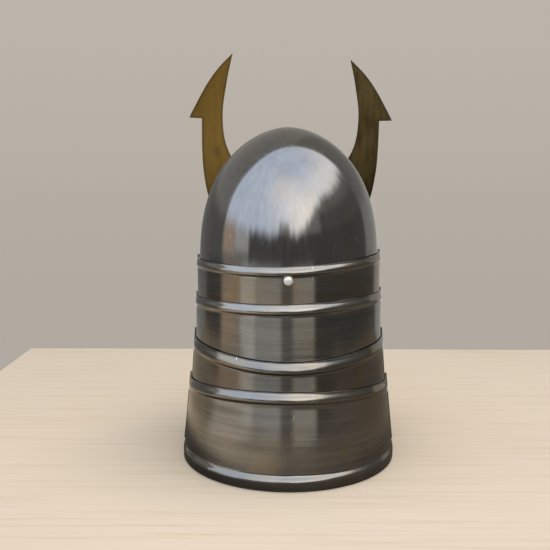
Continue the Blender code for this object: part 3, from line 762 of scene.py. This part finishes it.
crest_pivot = Matrix.Translation((0, 0, CREST_SEAT_Z))
crest_place = crest_pivot @ Matrix.Rotation(CREST_ROLL, 4, "Y") @ crest_pivot.inverted()
inner, outer, stem = (smooth_run(run) for run in (HORN_INNER_EDGE, HORN_OUTER_EDGE, HORN_STEM))
half = inner + outer[1:] + stem
right, left = ([(point.x, point.y + (stretch - 1) * max(0.0, point.y - BARB_SHARE)) for point in half]
               for stretch in (RIGHT_TIP_STRETCH, LEFT_TIP_STRETCH))
outline = right + [(-across, rise) for across, rise in reversed(left) if across > 0]
bm = bmesh.new()
bm.faces.new([bm.verts.new((across * CREST_HALF_SPAN, 0, CREST_ROOT_Z + rise * CREST_HEIGHT))
              for across, rise in outline])
for axis, start, length in ((0, -CREST_HALF_SPAN, 2 * CREST_HALF_SPAN), (2, CREST_ROOT_Z, CREST_HEIGHT)):
    for cut in range(1, math.ceil(length / CREST_CELL)):
        spot = Vector((0, 0, 0))
        facing = Vector((0, 0, 0))
        spot[axis] = start + cut * CREST_CELL
        facing[axis] = 1
        bmesh.ops.bisect_plane(bm, geom=bm.verts[:] + bm.edges[:] + bm.faces[:], dist=1e-6,
                               plane_co=spot, plane_no=facing)
edge_points = [vertex.co.copy() for vertex in bm.verts if vertex.is_boundary]
from_edge = bm.verts.layers.float.new("from_edge")
for vertex in bm.verts:
    vertex[from_edge] = min((vertex.co - point).length for point in edge_points)
for vertex in bm.verts:
    vertex.co.y = crest_back_y(vertex.co.x, vertex.co.z)
bm.transform(AXIS @ crest_place)
for face in bm.faces:
    face.normal_update()
    if face.normal.y < 0:
        face.normal_flip()
crest_mesh = bpy.data.meshes.new("crest_horns")
bm.to_mesh(crest_mesh)
bm.free()
crest_mesh.shade_smooth()
crest = bpy.data.objects.new("crest_horns", crest_mesh)
bpy.context.collection.objects.link(crest)

brass, tree, shader = new_material("tarnished brass", roughness=0.42, metallic=0.9)
worn = add(tree, "ShaderNodeGroup", node_tree=wear)
worn.inputs["Seed"].default_value = (0.7, 0.2, 0.5)
brushed = add(tree, "ShaderNodeGroup", node_tree=brushing)
brushed.inputs["Stretch"].default_value = CREST_BRUSHING
cloud = Term(tree, worn.outputs["Cloud"])
streak, broad = (Term(tree, output) for output in brushed.outputs)
x = axes(tree, add(tree, "ShaderNodeTexCoord").outputs["Object"])[0]
from_rim = Term(tree, add(tree, "ShaderNodeAttribute", attribute_name="from_edge").outputs["Fac"])
colour = blend(tree, (cloud * 0.5 + streak * 0.5).step(*MOTTLE), OLIVE_DARK, OLIVE_PALE)
# Painted reflection: the left horn is made golden, standing in for the warm light that it mirrors.
colour = blend(tree, x.step(0.03, -0.03) * (0.55 + 0.35 * streak), colour, GOLDEN_PAINTED_REFLECTION)
brown = cloud.step(0.50, 0.66) * broad.step(0.42, 0.6)
colour = blend(tree, brown * 0.7, colour, BROWN)
colour = blend(tree, from_rim.step(0.004, 0.0) * 0.45, colour, EDGE_BROWN)
give(tree, shader.inputs["Base Color"], colour)
give(tree, shader.inputs["Roughness"], 0.30 + 0.25 * cloud + 0.1 * streak)
marked(tree, shader, streak + cloud, 0.25)
crest_mesh.materials.append(brass)
thicken(crest, CREST_SHEET, CREST_EDGE)
crest.modifiers["sheet"].offset = 1
crest.modifiers["sheet"].use_even_offset = False
crest.visible_glossy = False
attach(crest, "bowl_body")
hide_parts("crest")


# Rivets
# Bright domed rivets, set cold with a hammer: each has a low round head outside, a shank through the
# sheets and a small set tail inside. The side ones of the lower three lames are pivots.
RIVET_Y = 0.002
RIVET_BELOW_BEAD = 0.0010
BACK_RIVET_BELOW_BEAD = 0.0034
HEAD_RADIUS = 0.0049
HEAD_HEIGHT = 0.0036
HEAD_WALL_SHARE = 0.3
HEAD_FOOT_RADIUS = 0.0036
SHANK_RADIUS = 0.0026
TAIL_RADIUS = 0.0038
TAIL_HEIGHT = 0.0012
TAIL_ROOM = 0.0006
PEAK_RIVET_TURN = math.radians(38)
CREST_RIVET_X = 0.016
HEAD_STEPS = 10
ROUND_STEPS = 32
RIVET_BRIGHT = (0.93, 0.93, 0.91, 1)
RIVET_DULL = (0.76, 0.755, 0.73, 1)
DENT_DEPTH = 0.0003


def wall_half_width(name, z):
    row = LAMES[name]
    return lame_sizes[name][0] + row["side_splay"] * (row["side"] * GUARD_HEIGHT - z)


def side_rivet(name, side):
    """A side rivet's place on a lame's wall, its outward direction and the thickness that it grips."""
    row = LAMES[name]
    half_width, half_depth = lame_sizes[name]
    lean = (row["back"] - row["side"]) * GUARD_HEIGHT * -RIVET_Y / half_depth
    top_z = row["side"] * GUARD_HEIGHT + lean + side * half_width * math.tan(math.radians(row["roll"]))
    z = top_z - row["bead"] * BEAD_HEIGHT - RIVET_BELOW_BEAD
    half_width = wall_half_width(name, z)
    names = list(LAMES)
    if name == names[0]:
        bowl_share = math.sqrt(1 - (RIVET_Y / BOWL_HALF_DEPTH) ** 2)
        slope = BOWL_HALF_WIDTH * RIVET_Y / (BOWL_HALF_DEPTH ** 2 * bowl_share)
        grip = half_width - BOWL_HALF_WIDTH * bowl_share + SHEET + TAIL_RADIUS * slope + TAIL_ROOM
    else:
        grip = half_width - wall_half_width(names[names.index(name) - 1], z) + SHEET
    return Vector((side * half_width, RIVET_Y, z)), Vector((side, 0, row["side_splay"])).normalized(), grip


def crest_rivet(side):
    x = side * CREST_RIVET_X
    slope = x / math.sqrt(CREST_BEND_RADIUS ** 2 - x ** 2)
    outward = Vector((slope, 1, CREST_LEAN)).normalized()
    place = Vector((x, crest_back_y(x, CREST_SEAT_Z), CREST_SEAT_Z)) + CREST_SHEET * outward
    bowl_share = math.sqrt(egg_share(CREST_SEAT_Z) ** 2 - (x / BOWL_HALF_WIDTH) ** 2)
    bowl_slope = BOWL_HALF_DEPTH * abs(x) / (BOWL_HALF_WIDTH ** 2 * bowl_share)
    gap = crest_back_y(x, CREST_SEAT_Z) - BOWL_HALF_DEPTH * bowl_share
    grip = CREST_SHEET + SHEET + gap + TAIL_RADIUS * (bowl_slope - abs(slope)) + TAIL_ROOM
    return crest_place @ place, (crest_place.to_3x3() @ outward).normalized(), grip


def peak_rivet(turn):
    z = PEAK_BEND_Z + 0.5 * PEAK_FLANGE_HEIGHT
    outward = brow_point(turn, z, 1) - brow_point(turn, z, 0)
    return brow_point(turn, z, SEAT_GAP + SHEET), outward, 2 * SHEET + SEAT_GAP + TAIL_ROOM


bright, tree, shader = new_material("bright rivet metal", roughness=0.22, metallic=0.5)
worn = add(tree, "ShaderNodeGroup", node_tree=wear)
worn.inputs["Seed"].default_value = (0.1, 0.8, 0.3)
cloud = Term(tree, worn.outputs["Cloud"])
dents = noise(tree, add(tree, "ShaderNodeTexCoord").outputs["Object"], 420.0, detail=2.0)
colour = blend(tree, (cloud * 0.5 + dents * 0.5).step(0.3, 0.65), RIVET_BRIGHT, RIVET_DULL)
give(tree, shader.inputs["Base Color"], colour)
give(tree, shader.inputs["Roughness"], 0.26 + 0.18 * dents)
marked(tree, shader, dents, 0.5, DENT_DEPTH)

# The rivet's half section from the top of its head to its tail's end: radius, height, and 1 for what
# moves in with the thickness that the rivet grips.
rivet_profile = []
for step in range(HEAD_STEPS + 1):
    turn = math.pi / 2 * step / HEAD_STEPS
    rise = HEAD_WALL_SHARE + (1 - HEAD_WALL_SHARE) * math.cos(turn)
    rivet_profile.append((HEAD_RADIUS * math.sin(turn), HEAD_HEIGHT * rise, 0.0))
rivet_profile += [
    (0.97 * HEAD_RADIUS, 0.2 * HEAD_HEIGHT, 0.0),
    (0.85 * HEAD_RADIUS, 0.12 * HEAD_HEIGHT, 0.0),
    (HEAD_FOOT_RADIUS, SEAT_GAP, 0.0),
    (SHANK_RADIUS, SEAT_GAP, 0.0),
    (SHANK_RADIUS, -SEAT_GAP, 1.0),
    (0.92 * TAIL_RADIUS, -SEAT_GAP, 1.0),
    (TAIL_RADIUS, -SEAT_GAP - 0.3 * TAIL_HEIGHT, 1.0),
    (0.8 * TAIL_RADIUS, -SEAT_GAP - 0.85 * TAIL_HEIGHT, 1.0),
    (0.0, -SEAT_GAP - TAIL_HEIGHT, 1.0),
]
bm = bmesh.new()
on_tail = bm.verts.layers.float.new("on_tail")
rings = []
for radius, rise, beyond in rivet_profile:
    ring = []
    for step in range(ROUND_STEPS if radius else 1):
        turn = 2 * math.pi * step / ROUND_STEPS
        vertex = bm.verts.new((radius * math.cos(turn), radius * math.sin(turn), rise))
        vertex[on_tail] = beyond
        ring.append(vertex)
    rings.append(ring)
for upper, lower in zip(rings, rings[1:]):
    for step in range(ROUND_STEPS):
        after = (step + 1) % ROUND_STEPS
        corners = [upper[step % len(upper)], lower[step % len(lower)], lower[after % len(lower)],
                   upper[after % len(upper)]]
        bm.faces.new(list(dict.fromkeys(corners)))
bmesh.ops.recalc_face_normals(bm, faces=bm.faces)
rivet_form = bpy.data.meshes.new("rivet_form")
bm.to_mesh(rivet_form)
bm.free()
rivet_form.materials.append(bright)
rivet_form_piece = bpy.data.objects.new("rivet_form", rivet_form)
bpy.context.collection.objects.link(rivet_form_piece)

rivet_tree = bpy.data.node_groups.new("rivets", "GeometryNodeTree")
rivet_tree.interface.new_socket("Geometry", in_out="OUTPUT", socket_type="NodeSocketGeometry")
for label, kind in (("Geometry", "Geometry"), ("Rivet", "Object"), ("Material", "Material")):
    rivet_tree.interface.new_socket(label, in_out="INPUT", socket_type="NodeSocket" + kind)
source = rivet_tree.nodes.new("NodeGroupInput")
outward = add(rivet_tree, "GeometryNodeInputNamedAttribute", "outward", data_type="FLOAT_VECTOR").outputs[0]
grip = add(rivet_tree, "GeometryNodeInputNamedAttribute", "grip", data_type="FLOAT").outputs[0]
on_tail = add(rivet_tree, "GeometryNodeInputNamedAttribute", "on_tail", data_type="FLOAT").outputs[0]
turned = add(rivet_tree, "FunctionNodeAlignRotationToVector", axis="Z")
give(rivet_tree, turned.inputs["Vector"], outward)
single = add(rivet_tree, "GeometryNodeObjectInfo", source.outputs["Rivet"])
placed = add(rivet_tree, "GeometryNodeInstanceOnPoints", source.outputs["Geometry"])
give(rivet_tree, placed.inputs["Instance"], single.outputs["Geometry"])
give(rivet_tree, placed.inputs["Rotation"], turned.outputs[0])
realized = add(rivet_tree, "GeometryNodeRealizeInstances", placed.outputs[0])
reach = Term(rivet_tree, grip) * Term(rivet_tree, on_tail) * -1.0
shift = add(rivet_tree, "ShaderNodeVectorMath", outward, operation="SCALE")
give(rivet_tree, shift.inputs["Scale"], reach)
lengthened = add(rivet_tree, "GeometryNodeSetPosition", realized.outputs[0])
give(rivet_tree, lengthened.inputs["Offset"], shift.outputs[0])
smooth = add(rivet_tree, "GeometryNodeSetShadeSmooth", lengthened.outputs[0])
painted = add(rivet_tree, "GeometryNodeSetMaterial", smooth.outputs[0])
give(rivet_tree, painted.inputs["Material"], source.outputs["Material"])
add(rivet_tree, "NodeGroupOutput", painted.outputs[0])

top_lame = LAMES["lame_1"]
back_place = Vector((0, -lame_sizes["lame_1"][1],
                     GUARD_HEIGHT - top_lame["bead"] * BEAD_HEIGHT - BACK_RIVET_BELOW_BEAD))
back_grip = 2 * SHEET + top_lame["back_gap"] + TAIL_ROOM
rivet_rows = {"bowl_body": {"rivet_back": (back_place, Vector((0, -1, 0)), back_grip)}}
for side, word in ((-1, "left"), (1, "right")):
    rivet_rows["bowl_body"]["crest_rivet_" + word] = crest_rivet(side)
    rivet_rows["bowl_body"]["peak_rivet_" + word] = peak_rivet(side * PEAK_RIVET_TURN)
    for number, name in enumerate(LAMES, 1):
        rivet_rows.setdefault(LAMES[name]["body"], {})[f"rivet_{word}_{number}"] = side_rivet(name, side)
rivet_rows["bowl_body"]["peak_rivet_middle"] = peak_rivet(0.0)
for body, rows in rivet_rows.items():
    points = bpy.data.meshes.new(body + "_rivet_points")
    points.from_pydata([tuple(place) for place, facing, gripped in rows.values()], [], [])
    points.attributes.new("outward", "FLOAT_VECTOR", "POINT")
    points.attributes.new("grip", "FLOAT", "POINT")
    for index, (place, facing, gripped) in enumerate(rows.values()):
        points.attributes["outward"].data[index].vector = facing
        points.attributes["grip"].data[index].value = gripped
    rivets = formed(body + "_rivets", rivet_tree, {"Rivet": rivet_form_piece, "Material": bright}, points)
    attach(rivets, body)
    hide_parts(*rows)
bpy.data.objects.remove(rivet_form_piece)
